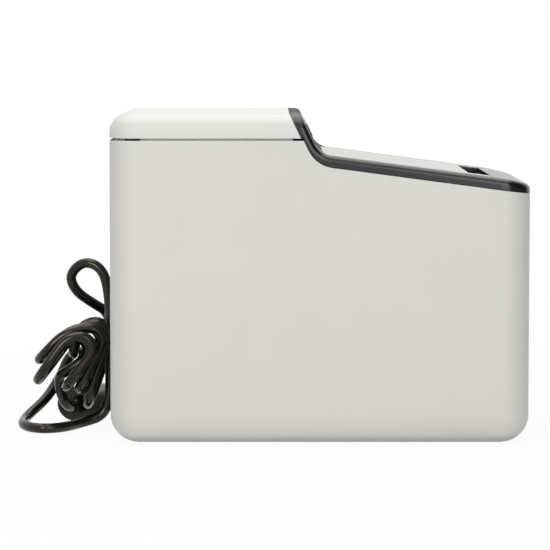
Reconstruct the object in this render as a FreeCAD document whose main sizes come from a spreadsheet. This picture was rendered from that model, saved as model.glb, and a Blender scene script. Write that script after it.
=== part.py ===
"""A compact desktop printer for thermal labels, in millimetres.

X runs across the printer, the front faces -Y, and Z is up from the table. The origin is on the table, under
the middle of the housing. The whole top, lid and sloped front together, is one cover on a hinge at the back.
The mains cord is plugged in at the back, tied in a hank as it came out of the box.
"""
import FreeCAD, Part
import math
import os

import Sketcher
from FreeCAD import Placement, Rotation, Vector

doc = FreeCAD.newDocument("label_printer")
size = doc.addObject("Spreadsheet::Sheet", "size")

DIMENSIONS = {
    # housing
    "width": 137, "depth": 217, "height": 171, "foot_rise": 0.4, "wall": 2.5, "rear_lip": 0.8,
    "corner_round": 16, "base_round": 14.5, "rim": 157, "front_rim": 129.6,
    "slope": 0.1328, "riser_foot": 8.4, "riser_lean": 0.477, "bend_round": 16,
    # cover
    "lid_gap": 1.2, "lid_round": 10, "trim_gap": 0.4, "trim_back": 0.9, "trim_rise": 5.7, "trim_deep": 4.5,
    "trim_edge": 3.2, "nose_back": -90.5, "nose_round": 90,
    "panel_half": 58, "panel_thick": 2.4, "panel_back": -1.8, "panel_front": -88.2, "ledge": 3,
    "slot_half": 48, "slot_back": -77, "key_up": 160.5, "key_apart": 12, "key_radius": 3.2,
    "liner_half": 58, "liner_thick": 2.2,
    # hinge
    "hinge_back": 104.8, "hinge_up": 161, "knuckle": 3.7, "pin_radius": 1.5,
    "knuckle_in": 26, "knuckle_out": 38,
    # paper
    "roll_back": 52, "roll_up": 101, "roll_radius": 42, "roll_half": 44.5, "core_radius": 13, "bay_round": 45,
    "journal": 6, "tray_half": 57, "tray_thick": 2.2, "platform": 76, "web_in": 51.5, "web_top": 112,
    # drive
    "platen_back": -56, "platen_up": 112, "platen_radius": 7, "platen_half": 50, "shaft_radius": 3,
    "web_tilt": 30, "plate_in": 54.5, "plate_thick": 1.5, "gear_in": 58.5, "gear_wide": 5, "module": 0.7,
    "motor_radius": 14, "motor_long": 22,
    # sockets
    "inlet_across": 36, "inlet_up": 38, "usb_across": -18, "usb_up": 42,
    # cord
    "cord_radius": 2.7, "hank_wide": 10.6, "hank_step": 6.5,
}
for row, (alias, amount) in enumerate(DIMENSIONS.items(), 1):
    size.set(f"A{row}", alias)
    size.set(f"B{row}", str(amount))
    size.setAlias(f"B{row}", alias)
doc.recompute()

HALF_WIDE = "size.width / 2"
HALF_DEEP = "size.depth / 2"
FLOOR = "size.foot_rise + size.wall"
REAR_INNER = "size.depth / 2 - size.wall"
LID_BASE = "size.rim + size.lid_gap"
ALONG = {"X": Rotation(Vector(0, 1, 0), 90), "Y": Rotation(Vector(1, 0, 0), -90), "Z": Rotation()}
SIDE_VIEW = Rotation(Vector(1, 1, 1), 120)


def number(expression):
    return float(size.evalExpression(str(expression)))


def place(thing, x, y, z, turn=Rotation()):
    thing.Placement = Placement(Vector(number(x), number(y), number(z)), turn)
    for axis, expression in zip("xyz", (x, y, z)):
        thing.setExpression(f"Placement.Base.{axis}", str(expression))
    return thing


def block(name, x, y, z, kind="Part::Box", owner=None):
    """A box between two expressions along each axis."""
    thing = owner.newObject(kind, name) if owner else doc.addObject(kind, name)
    for side, (low, high) in zip(("Length", "Width", "Height"), (x, y, z)):
        thing.setExpression(side, f"({high}) - ({low})")
    return place(thing, x[0], y[0], z[0])


def rod(name, radius, x, y, z, length, along="X", kind="Part::Cylinder", owner=None):
    """A cylinder that starts at a point and runs along an axis or a rotation."""
    thing = owner.newObject(kind, name) if owner else doc.addObject(kind, name)
    thing.setExpression("Radius", str(radius))
    thing.setExpression("Height", str(length))
    return place(thing, x, y, z, ALONG.get(along, along) if isinstance(along, str) else along)


def arc_between(start, end, radius):
    """The arc under a half circle from start to end, turning left where the radius is positive."""
    chord = end - start
    side = Vector(-chord.y, chord.x, 0).normalize()
    rise = math.sqrt(radius**2 - (chord.Length / 2) ** 2) * math.copysign(1, radius)
    centre = (start + end) / 2 + side * rise
    middle = centre + ((start + end) / 2 - centre).normalize() * abs(radius)
    return Part.Arc(start, middle, end)


def draw(sketch, outline):
    """A closed outline: each corner is (across, up), with the radius of the arc that leaves it, if any."""
    corners = [Vector(number(corner[0]), number(corner[1]), 0) for corner in outline]
    count = len(corners)
    first = sketch.GeometryCount
    ends = []
    for i, corner in enumerate(outline):
        start, end = corners[i], corners[(i + 1) % count]
        if len(corner) == 3:
            sketch.addGeometry(arc_between(start, end, number(corner[2])))
            ends.append((1, 2) if number(corner[2]) > 0 else (2, 1))
        else:
            sketch.addGeometry(Part.LineSegment(start, end))
            ends.append((1, 2))
    for i in range(count):
        after = (i + 1) % count
        meet = Sketcher.Constraint("Coincident", first + i, ends[i][1], first + after, ends[after][0])
        sketch.addConstraint(meet)
    for i, corner in enumerate(outline):
        if len(corner) == 3:
            held = sketch.addConstraint(Sketcher.Constraint("Radius", first + i, abs(number(corner[2]))))
            sketch.setExpression(f"Constraints[{held}]", f"abs({corner[2]})")
        for kind, expression in zip(("DistanceX", "DistanceY"), corner):
            rule = Sketcher.Constraint(kind, -1, 1, first + i, ends[i][0], number(expression))
            held = sketch.addConstraint(rule)
            sketch.setExpression(f"Constraints[{held}]", str(expression))


def prism(name, outline, x):
    """A side outline of (back, up) corners, pushed out from x[0] to x[1]."""
    sketch = doc.addObject("Sketcher::SketchObject", f"{name}_outline")
    place(sketch, x[0], 0, 0, SIDE_VIEW)
    draw(sketch, outline)
    thing = doc.addObject("Part::Extrusion", name)
    thing.Base = sketch
    thing.DirMode = "Normal"
    thing.Solid = True
    thing.setExpression("LengthFwd", f"({x[1]}) - ({x[0]})")
    return thing


def fuse(name, *pieces):
    thing = doc.addObject("Part::MultiFuse", name)
    thing.Shapes = list(pieces)
    return thing


def cut(name, base, *tools):
    thing = doc.addObject("Part::Cut", name)
    thing.Base = base
    thing.Tool = tools[0] if len(tools) == 1 else fuse(f"{name}_tools", *tools)
    return thing


def group(name, *pieces):
    thing = doc.addObject("Part::Compound", name)
    thing.Links = list(pieces)
    return thing


def solid(name, shape):
    thing = doc.addObject("Part::Feature", name)
    thing.Shape = shape
    thing.Placement = Placement()
    return thing


def new_body(name):
    return doc.addObject("PartDesign::Body", name)


def sketch_in(body, name, role, outline, lift="0"):
    sketch = body.newObject("Sketcher::SketchObject", name)
    sketch.AttachmentSupport = ([f for f in body.Origin.OriginFeatures if f.Role == role][0], [""])
    sketch.MapMode = "FlatFace"
    sketch.setExpression("AttachmentOffset.Base.z", str(lift))
    draw(sketch, outline)
    return sketch


def pad(body, name, sketch, length, middle=False, kind="PartDesign::Pad"):
    feature = body.newObject(kind, name)
    feature.Profile = sketch
    feature.setExpression("Length", str(length))
    feature.Midplane = middle
    doc.recompute()
    return feature


def pocket(body, name, sketch, length):
    """A cut both ways from the sketch, which has to take something away."""
    before = body.Shape.Volume
    feature = pad(body, name, sketch, length, True, "PartDesign::Pocket")
    if body.Shape.Volume > before - 1:
        raise ValueError(f"{name} cuts nothing")
    return feature


def round_edges(body, name, radius, test):
    """Rounds the edges of the body's tip whose middle point passes the test."""
    tip = body.Tip
    names = [f"Edge{i + 1}" for i, edge in enumerate(tip.Shape.Edges) if test(edge, middle_of(edge))]
    if not names:
        raise ValueError(f"{name} finds no edge")
    feature = body.newObject("PartDesign::Fillet", name)
    feature.Base = (tip, names)
    feature.setExpression("Radius", str(radius))
    doc.recompute()
    return feature


def middle_of(edge):
    return edge.valueAt((edge.FirstParameter + edge.LastParameter) / 2)


def runs_along(edge, axis):
    way = edge.tangentAt((edge.FirstParameter + edge.LastParameter) / 2)
    return abs(way.dot(axis)) > 0.999 and isinstance(edge.Curve, Part.Line)


def close(a, b):
    return abs(a - b) < 0.05


# The parting line, seen from the side: level at the back, a leaning riser, then a long slope to the front.
def slope_up(across, lift=0):
    return f"size.front_rim + size.slope * (({across}) + size.depth / 2) + ({lift})"


def riser_at(up, shift=0):
    return f"size.riser_foot + size.riser_lean * (({up}) - size.rim) + ({shift})"


def bend(shift, lift):
    """The corner where the riser, moved back by shift, meets the slope, raised by lift."""
    foot = f"size.front_rim + ({lift}) + size.slope * size.depth / 2 - size.rim"
    reach = f"size.riser_foot + ({shift}) + size.riser_lean * ({foot})"
    across = f"({reach}) / (1 - size.riser_lean * size.slope)"
    return across, slope_up(across, lift)


TRIM_LOW = ("-size.trim_gap", "size.trim_gap")
TRIM_HIGH = ("-size.trim_gap - size.trim_deep", "size.trim_gap + size.trim_rise")


def plan(inset=0):
    """The housing's plan, before its corners are rounded."""
    wide, deep = f"size.width / 2 - {inset}", f"size.depth / 2 - {inset}"
    return [(f"-({wide})", f"-({deep})"), (wide, f"-({deep})"), (wide, deep), (f"-({wide})", deep)]


def body_shell():
    """The white tub: rounded corners and foot, thin walls, with the top cut to the parting line."""
    body = new_body("body_shell")
    outline = sketch_in(body, "tub_plan", "XY_Plane", plan(), "size.foot_rise")
    pad(body, "tub", outline, "size.rim - size.foot_rise")
    round_edges(body, "tub_corners", "size.corner_round", lambda e, p: runs_along(e, Vector(0, 0, 1)))
    foot = number("size.foot_rise")
    round_edges(body, "tub_foot", "size.base_round", lambda e, p: close(p.z, foot))
    tip = body.Tip
    rim = number("size.rim")
    top = [f"Face{i + 1}" for i, f in enumerate(tip.Shape.Faces) if close(f.BoundBox.ZMin, rim)]
    hollow = body.newObject("PartDesign::Thickness", "tub_walls")
    hollow.Base = (tip, top)
    hollow.setExpression("Value", "size.wall")
    hollow.Reversed = True
    doc.recompute()
    above, ahead = "size.rim + 10", "-size.depth / 2 - 10"
    corner = bend(0, 0)
    cutter = [corner, (riser_at(above), above), (ahead, above), (ahead, slope_up(ahead))]
    pocket(body, "front_cut", sketch_in(body, "front_cut_side", "YZ_Plane", cutter), "size.width + 20")
    valley = Vector(0, number(corner[0]), number(corner[1]))
    round_edges(body, "front_bend", "size.bend_round",
                lambda e, p: runs_along(e, Vector(1, 0, 0)) and (Vector(0, p.y, p.z) - valley).Length < 0.1)
    lip = ("size.depth / 2 - size.wall - 1", "size.depth / 2 - size.rear_lip")
    across = (f"-({HALF_WIDE}) + size.corner_round", f"{HALF_WIDE} - size.corner_round")
    block("rear_step", across, lip, ("size.rim - 1", "size.rim + 1"), "PartDesign::SubtractiveBox", body)
    for i, middle in enumerate(across):
        rod(f"rear_step_corner_{i}", "size.corner_round - size.rear_lip", middle,
            "size.depth / 2 - size.corner_round", "size.rim - 1", 2, "Z", "PartDesign::SubtractiveCylinder", body)
    through = (f"{REAR_INNER} - 1", f"{HALF_DEEP} + 1")
    for name, (x, z), half, tall in (("inlet_hole", INLET, 10.2, 6.2), ("usb_hole", USB, 6.4, 6)):
        block(name, (f"{x} - {half}", f"{x} + {half}"), through, (f"{z} - {tall}", f"{z} + {tall}"),
              "PartDesign::SubtractiveBox", body)
    for side, tongue, root in (("right", ("64.2", "65.6"), ("64.2", "66.2")),
                               ("left", ("-65.6", "-64.2"), ("-66.2", "-64.2"))):
        block(f"root_{side}", root, ("12", "92"), ("size.rim - 7", "size.rim"),
              "PartDesign::AdditiveBox", body)
        block(f"tongue_{side}", tongue, ("14", "92"), ("size.rim - 7", "size.rim + 3"),
              "PartDesign::AdditiveBox", body)
    block("base_recess", ("-48.5", "48.5"), ("-86", "86"), ("size.foot_rise - 1", "size.foot_rise + 1.3"),
          "PartDesign::SubtractiveBox", body)
    block("base_opening", ("-43", "43"), ("-83", "83"), ("size.foot_rise", "size.foot_rise + 5"),
          "PartDesign::SubtractiveBox", body)
    for i, (x, y) in enumerate(BASE_SCREWS):
        rod(f"base_thread_{i}", 1.45, x, y, "size.foot_rise", 8, "Z", "PartDesign::SubtractiveCylinder", body)
    doc.recompute()
    return body


INLET = ("size.inlet_across", "size.inlet_up")
USB = ("size.usb_across", "size.usb_up")
BASE_SCREWS = [(-44.5, -40), (44.5, -40), (-44.5, 40), (44.5, 40)]
FEET = [(-34, -72), (34, -72), (-34, 72), (34, 72)]


def base_plate():
    """The plate that closes the foot, with two rows of vents."""
    plate = block("plate_blank", ("-48.2", "48.2"), ("-85.7", "85.7"),
                  ("size.foot_rise", "size.foot_rise + 1.25"))
    tools = []
    for row in range(9):
        for side in (-1, 1):
            middle, back = side * 14, (row - 4) * 9
            tools.append(block(f"vent_{row}_{side + 1}", (middle - 10, middle + 10), (back - 1.5, back + 1.5),
                               ("0", "size.foot_rise + 3")))
    for i, (x, y) in enumerate(BASE_SCREWS):
        tools.append(rod(f"plate_hole_{i}", 1.5, x, y, 0, 6, "Z"))
        sink = doc.addObject("Part::Cone", f"plate_sink_{i}")
        sink.Radius1, sink.Radius2, sink.Height = 2.9, 1.5, 1.2
        tools.append(place(sink, x, y, "size.foot_rise - 0.05"))
    return cut("base_plate", plate, *tools)


def rubber_feet():
    feet = []
    for i, (x, y) in enumerate(FEET):
        foot = doc.addObject("Part::Cone", f"foot_{i}")
        foot.Radius1, foot.Radius2 = 7, 8
        foot.setExpression("Height", "size.foot_rise")
        feet.append(place(foot, x, y, 0))
    return group("rubber_feet", *feet)


def base_screws():
    screws = []
    for i, (x, y) in enumerate(BASE_SCREWS):
        head = doc.addObject("Part::Cone", f"screw_head_{i}")
        head.Radius1, head.Radius2, head.Height = 2.7, 1.4, 1.1
        place(head, x, y, "size.foot_rise + 0.05")
        shank = rod(f"screw_shank_{i}", 1.4, x, y, "size.foot_rise + 1", 2.4, "Z")
        screws.append(fuse(f"base_screw_{i}", head, shank))
    return group("base_screws", *screws)


def inner_chassis():
    """The moulding inside the tub: a round bay for the roll, then a platform that carries the mechanism."""
    inner, outer = "size.bay_round", "(size.bay_round + size.tray_thick)"
    centre, up = "size.roll_back", "size.roll_up"
    low = "(size.platform - size.tray_thick)"
    top = "size.rim - 9"
    mouth = f"{centre} - sqrt({inner}^2 - ({up} - size.platform)^2)"
    under = f"{centre} - sqrt({outer}^2 - ({up} - {low})^2)"
    tray = prism("tray", [
        (f"{centre} + {inner}", top), (f"{centre} + {inner}", up, f"-{inner}"), (mouth, "size.platform"),
        ("-100", "size.platform"), ("-100", low), (under, low, outer),
        (f"{centre} + {outer}", up), (f"{centre} + {outer}", top),
    ], ("-size.tray_half", "size.tray_half"))
    back = f"{centre} + {outer}"
    side = [("-92", FLOOR), ("92", FLOOR), (back, "12"), (back, "size.web_top"), ("12", "size.web_top"),
            ("12", "size.platform"), ("-100", "size.platform"), ("-100", "12")]
    outer_web = "size.web_in + size.tray_thick"
    webs = [prism("web_right", side, ("size.web_in", outer_web)),
            prism("web_left", side, (f"-({outer_web})", "-size.web_in"))]
    slot = "size.journal + 0.1"
    across = ("-size.tray_half", "size.tray_half")
    cradle = [rod("cradle_round", slot, across[0], centre, up, "2 * size.tray_half"),
              block("cradle_slot", across, (f"{centre} - ({slot})", f"{centre} + {slot}"),
                    (up, "size.web_top + 5"))]
    return cut("inner_chassis", fuse("chassis_blank", tray, *webs), *cradle)


MOTOR_TURN, IDLER_TURN = -8, -38
TEETH = {"platen": 24, "idler": 36, "pinion": 18}


def gear_centres():
    """The platen's axis, then the idler and the motor at their meshing distances, as (back, up)."""
    platen = ("size.platen_back", "size.platen_up")
    reach = f"size.module * {(TEETH['platen'] + TEETH['idler']) / 2}"
    idler = (f"{platen[0]} + {reach} * cos({-IDLER_TURN})", f"{platen[1]} - {reach} * sin({-IDLER_TURN})")
    reach = f"size.module * {(TEETH['idler'] + TEETH['pinion']) / 2}"
    motor = (f"{idler[0]} + {reach} * cos({-MOTOR_TURN})", f"{idler[1]} - {reach} * sin({-MOTOR_TURN})")
    return {"platen": platen, "idler": idler, "motor": motor}


CENTRES = gear_centres()


def mechanism_frame():
    """A folded steel channel: its floor sits on the platform and its sides carry the platen and the motor."""
    side = [("-86", "size.platform"), ("-4", "size.platform"), ("-4", "112"),
            ("-34", "124"), ("-62", "127"), ("-86", "131")]
    outer = "size.plate_in + size.plate_thick"
    cheeks = [prism("cheek_right", side, ("size.plate_in", outer)),
              prism("cheek_left", side, (f"-({outer})", "-size.plate_in"))]
    floor = block("channel_floor", (f"-({outer})", outer), ("-86", "-4"),
                  ("size.platform", "size.platform + size.plate_thick"))
    long = f"2 * ({outer}) + 4"
    holes = [rod("bush_bore", 5, f"-({outer}) - 2", *CENTRES["platen"], long),
             rod("motor_bore", 5, "size.plate_in - 2", *CENTRES["motor"], 8),
             rod("stud_bore", 1.6, "size.plate_in - 2", *CENTRES["idler"], 8)]
    return cut("mechanism_frame", fuse("channel", *cheeks, floor), *holes)


def platen_bushes():
    bushes = []
    for side, start in ((1, "size.plate_in - 1"), (-1, "-size.plate_in - size.plate_thick - 1")):
        ring = rod(f"bush_{side + 1}", 5, start, *CENTRES["platen"], "size.plate_thick + 2")
        loose = "size.shaft_radius + 0.05"
        bore = rod(f"bush_hole_{side + 1}", loose, f"{start} - 1", *CENTRES["platen"], 10)
        bushes.append(cut(f"bush_ring_{side + 1}", ring, bore))
    return group("platen_bushes", *bushes)


def platen_shaft():
    length = "59 + size.gear_in + size.gear_wide + 0.5"
    return rod("platen_shaft", "size.shaft_radius", -59, *CENTRES["platen"], length)


def platen_rubber():
    length = "2 * size.platen_half"
    sleeve = rod("sleeve", "size.platen_radius", "-size.platen_half", *CENTRES["platen"], length)
    bore = rod("sleeve_bore", "size.shaft_radius", -60, *CENTRES["platen"], 120)
    return cut("platen_rubber", sleeve, bore)


def involute_outline(teeth, module):
    """One tooth's half outline as (radius, half angle) pairs, from root to tip, with a little backlash."""
    pitch = teeth * module / 2
    base, tip, root = pitch * math.cos(math.radians(20)), pitch + 0.85 * module, pitch - 1.2 * module
    half = (math.pi * module / 2 - 0.16 * module) / (2 * pitch)
    roll = math.tan(math.radians(20)) - math.radians(20)
    start = max(base, root)
    flank = []
    for step in range(4):
        radius = start + (tip - start) * step / 3
        lean = math.acos(min(1, base / radius))
        flank.append((radius, half + roll - (math.tan(lean) - lean)))
    return [(root, flank[0][1])] + flank


def gear(name, teeth, centre, bore, turn):
    """A spur gear on an X axis, with a tooth's middle at the given turn from the back."""
    module, start = number("size.module"), number("size.gear_in")
    profile = involute_outline(teeth, module)
    around = []
    for tooth in range(teeth):
        middle = turn + 2 * math.pi * tooth / teeth
        around += [(radius, middle - half) for radius, half in profile]
        around += [(radius, middle + half) for radius, half in reversed(profile)]
    back, up = number(centre[0]), number(centre[1])
    points = [Vector(start, back + r * math.cos(a), up + r * math.sin(a)) for r, a in around]
    rim = Part.Face(Part.makePolygon(points + points[:1])).extrude(Vector(number("size.gear_wide"), 0, 0))
    hole = Part.makeCylinder(bore, 40, Vector(start - 10, back, up), Vector(1, 0, 0))
    return solid(name, rim.cut(hole))


def gear_turns():
    """How far each gear is turned so that a tooth of one meets a gap of the next."""
    pitch = {name: 2 * math.pi / teeth for name, teeth in TEETH.items()}
    to_idler, to_motor = math.radians(IDLER_TURN), math.radians(MOTOR_TURN)
    platen = to_idler
    idler = to_idler + math.pi + pitch["idler"] / 2
    ahead = (to_motor - idler) % pitch["idler"]
    pinion = to_motor + math.pi + ahead * TEETH["idler"] / TEETH["pinion"] + pitch["pinion"] / 2
    return {"platen": platen, "idler": idler, "pinion": pinion}


TURNS = gear_turns()


def platen_gear():
    bore = number("size.shaft_radius")
    return gear("platen_gear", TEETH["platen"], CENTRES["platen"], bore, TURNS["platen"])


def idler_gear():
    return gear("idler_gear", TEETH["idler"], CENTRES["idler"], 2.05, TURNS["idler"])


def motor_pinion():
    return gear("motor_pinion", TEETH["pinion"], CENTRES["motor"], 1, TURNS["pinion"])


def idler_stud():
    tail = rod("stud_tail", 1.6, "size.plate_in - 0.5", *CENTRES["idler"], 3)
    post = rod("stud_post", 2, "size.plate_in + size.plate_thick", *CENTRES["idler"], 8)
    cap = rod("stud_cap", 3, "size.gear_in + size.gear_wide + 0.3", *CENTRES["idler"], 1)
    return fuse("idler_stud", tail, post, cap)


def stepper_motor():
    face = "size.plate_in"
    long = "size.motor_long"
    can = rod("motor_can", "size.motor_radius", f"{face} - {long}", *CENTRES["motor"], long)
    boss = rod("motor_boss", 4.8, f"{face} - 1", *CENTRES["motor"], 3)
    tail = rod("motor_tail", 5, f"{face} - {long} - 3", *CENTRES["motor"], 4)
    back, up = CENTRES["motor"]
    ears = block("motor_ears", (f"{face} - 1.2", face), (f"{back} - 16", f"{back} + 15"),
                 (f"{up} - 4", f"{up} + 4"))
    bore = rod("motor_hole", 1.05, f"{face} - 10", *CENTRES["motor"], 20)
    return cut("stepper_motor", fuse("motor_blank", can, boss, tail, ears), bore)


def motor_shaft():
    return rod("motor_shaft", 1, "size.plate_in - 9.5", *CENTRES["motor"], "9.5 + 4 + size.gear_wide + 0.6")


def web_point(along, off):
    """A point beside the platen: along the paper's way out, and off the platen's axis square to it."""
    tilt = "size.web_tilt"
    return (f"size.platen_back - cos({tilt}) * ({along}) + sin({tilt}) * ({off})",
            f"size.platen_up + sin({tilt}) * ({along}) + cos({tilt}) * ({off})")


def slab(name, along, off, half):
    corners = [(along[0], off[0]), (along[1], off[0]), (along[1], off[1]), (along[0], off[1])]
    return prism(name, [web_point(a, o) for a, o in corners], (f"-({half})", half))


def exit_guide():
    """A ramp that leads the printed label up to the slot, held between the cheeks."""
    ramp = slab("ramp", (9.5, 28), ("size.platen_radius - 3.4", "size.platen_radius - 1.4"), "size.plate_in")
    low, high = "size.platen_radius - 1.6", "size.platen_radius - 0.6"
    outline = [web_point(9.5, low), web_point(28, low), web_point(28, high), web_point(12, high)]
    ribs = []
    for i in range(9):
        middle = (i - 4) * 11
        ribs.append(prism(f"ramp_rib_{i}", outline, (middle - 0.8, middle + 0.8)))
    return fuse("exit_guide", ramp, *ribs)


HEAD_HALF = 49
PIVOT = web_point(-9, 11)


def print_head():
    return slab("print_head", (-6, 6), ("size.platen_radius + 0.35", "size.platen_radius + 1.35"), HEAD_HALF)


def heat_sink():
    """The aluminium block behind the head bar, with long fins and a bore for its pivot."""
    base = "size.platen_radius + 1.35"
    blank = slab("sink_blank", (-13, 8), (base, f"{base} + 8"), HEAD_HALF)
    deep = (f"{base} + 4", f"{base} + 12")
    grooves = [slab(f"sink_groove_{i}", (-4 + 3.2 * i, -2.2 + 3.2 * i), deep, HEAD_HALF + 1)
               for i in range(4)]
    bore = rod("sink_bore", 1.55, -60, *PIVOT, 120)
    return cut("heat_sink", blank, *grooves, bore)


def head_springs():
    """Two leaf springs on the heat sink, whose tips meet the hanger when the head is pushed up."""
    base = "size.platen_radius + 9.35"
    springs = []
    for side in (-1, 1):
        middle = 28 * side
        outline = [(-6, 0), (-12, 0), (-12, 0.6), (-6.4, 0.6), (2, 3.6), (4, 3.6), (4, 3), (2.2, 3)]
        springs.append(prism(f"leaf_{side + 1}", [web_point(a, f"{base} + {o}") for a, o in outline],
                             (middle - 4, middle + 4)))
    return group("head_springs", *springs)


def head_hanger():
    """The steel bracket under the cover that the head swings on."""
    under = "-0.4 - size.liner_thick"
    deck = [("-54", slope_up(-54, -4)), ("-33", slope_up(-33, -4)),
            ("-33", slope_up(-33, under)), ("-54", slope_up(-54, under))]
    arm = [("-48", "112.5"), ("-38", "112.5"), ("-33", slope_up(-33, -3)), ("-52", slope_up(-52, -3))]
    plates = [prism("hanger_deck", deck, (-51.8, 51.8)), prism("hanger_right", arm, (50, 51.8)),
              prism("hanger_left", arm, (-51.8, -50))]
    bore = rod("hanger_bore", 1.52, -60, *PIVOT, 120)
    return cut("head_hanger", fuse("hanger_blank", *plates), bore)


def head_pivot():
    return rod("head_pivot", 1.5, -52.6, *PIVOT, 105.2)


def main_board():
    board = block("board_blank", ("-46", "46"), ("-88", "56"), ("12", "13.6"))
    holes = [rod(f"board_hole_{i}", 1.6, x, y, 10, 6, "Z") for i, (x, y) in enumerate(STANDOFFS)]
    return cut("main_board", board, *holes)


STANDOFFS = [(-38, -78), (38, -78), (-38, 48), (38, 48)]


def board_standoffs():
    posts = []
    for i, (x, y) in enumerate(STANDOFFS):
        post = rod(f"post_{i}", 3, x, y, "size.foot_rise + 1.25", "12 - size.foot_rise - 1.25", "Z")
        peg = rod(f"peg_{i}", 1.5, x, y, 11, 4, "Z")
        posts.append(fuse(f"standoff_{i}", post, peg))
    return group("board_standoffs", *posts)


def board_components():
    """What stands on the board: a transformer, two capacitors, the processor and the cable headers."""
    top = "13.6"
    parts = [block("transformer", ("4", "30"), ("6", "34"), (top, "36")),
             block("processor", ("-24", "-8"), ("-40", "-24"), (top, "15.4")),
             block("memory", ("-2", "10"), ("-40", "-30"), (top, "15")),
             block("motor_header", ("30", "42"), ("-60", "-54"), (top, "21")),
             block("head_header", ("-20", "20"), ("-84", "-79"), (top, "19")),
             rod("capacitor_0", 8, "-16", "20", top, 24, "Z"),
             rod("capacitor_1", 5, "-32", "8", top, 16, "Z")]
    return group("board_components", *parts)


def oval(name, across, up, half, tall, back, length):
    """A rod along Y with round ends left and right: half its width by half its height."""
    straight = f"({half}) - ({tall})"
    ends = [rod(f"{name}_end_{i}", tall, f"{across} + {sign} * ({straight})", back, up, length, "Y")
            for i, sign in enumerate((-1, 1))]
    middle = block(f"{name}_middle", (f"{across} - ({straight})", f"{across} + {straight}"),
                   (back, f"({back}) + ({length})"), (f"{up} - ({tall})", f"{up} + ({tall})"))
    return fuse(name, middle, *ends)


PIN_APART = 4.3


def power_inlet():
    """A two-pole appliance inlet with an oval well, snapped into the rear wall."""
    x, z = INLET
    shell = block("inlet_shell", (f"{x} - 10", f"{x} + 10"), ("88", f"{HALF_DEEP} - 0.2"),
                  (f"{z} - 6", f"{z} + 6"))
    flange = block("inlet_flange", (f"{x} - 12", f"{x} + 12"), (f"{REAR_INNER} - 2", REAR_INNER),
                   (f"{z} - 8", f"{z} + 8"))
    well = oval("inlet_well", x, z, 7.2, 3.9, f"{HALF_DEEP} - 11.5", 16)
    pins = [rod(f"inlet_seat_{i}", 1.2, f"{x} + {side * PIN_APART}", "86", z, 20, "Y")
            for i, side in enumerate((-1, 1))]
    return cut("power_inlet", fuse("inlet_blank", shell, flange), well, *pins)


def inlet_contacts():
    x, z = INLET
    return group("inlet_contacts", *[rod(f"contact_{i}", 1.2, f"{x} + {side * PIN_APART}", "84", z, "21", "Y")
                                     for i, side in enumerate((-1, 1))])


def usb_socket():
    """A square data socket: a metal shell with its tongue."""
    x, z = USB
    shell = block("usb_shell", (f"{x} - 6.1", f"{x} + 6.1"), ("92", f"{HALF_DEEP} - 0.2"),
                  (f"{z} - 5.7", f"{z} + 5.7"))
    well = block("usb_well", (f"{x} - 4.4", f"{x} + 4.4"), ("96", "110"), (f"{z} - 4.1", f"{z} + 4.1"))
    tongue = block("usb_tongue", (f"{x} - 2.8", f"{x} + 2.8"), ("95", "107"), (f"{z} - 1.6", f"{z} + 1.6"))
    return fuse("usb_socket", cut("usb_can", shell, well), tongue)


EARS = [(19.6, 25.6), (38.4, 44.4)]
HINGE = ("size.hinge_back", "size.hinge_up")


def hinge_bracket():
    """The bar inside the rear wall, with four ears that rise into the lid and hold the hinge pins."""
    pieces = [block("hinge_bar", (-46, 46), ("101.2", REAR_INNER), ("size.rim - 12", "size.rim - 5"))]
    for low, high in EARS:
        for sign in (-1, 1):
            start, end = sorted((sign * low, sign * high))
            name = f"ear_{low:.0f}_{sign + 1}"
            pieces.append(block(f"{name}_stem", (start, end), ("101.2", f"{REAR_INNER} - 0.1"),
                                ("size.rim - 8", "size.hinge_up")))
            pieces.append(rod(f"{name}_eye", "size.knuckle", start, *HINGE, high - low))
    bore = rod("ear_bore", "size.pin_radius", -60, *HINGE, 120)
    return cut("hinge_bracket", fuse("bracket_blank", *pieces), bore)


def hinge_pins():
    long = EARS[1][1] - EARS[0][0]
    starts = (EARS[0][0], -EARS[1][1])
    pins = [rod(f"hinge_pin_{i}", "size.pin_radius", start, *HINGE, long) for i, start in enumerate(starts)]
    return group("hinge_pins", *pins)


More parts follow.
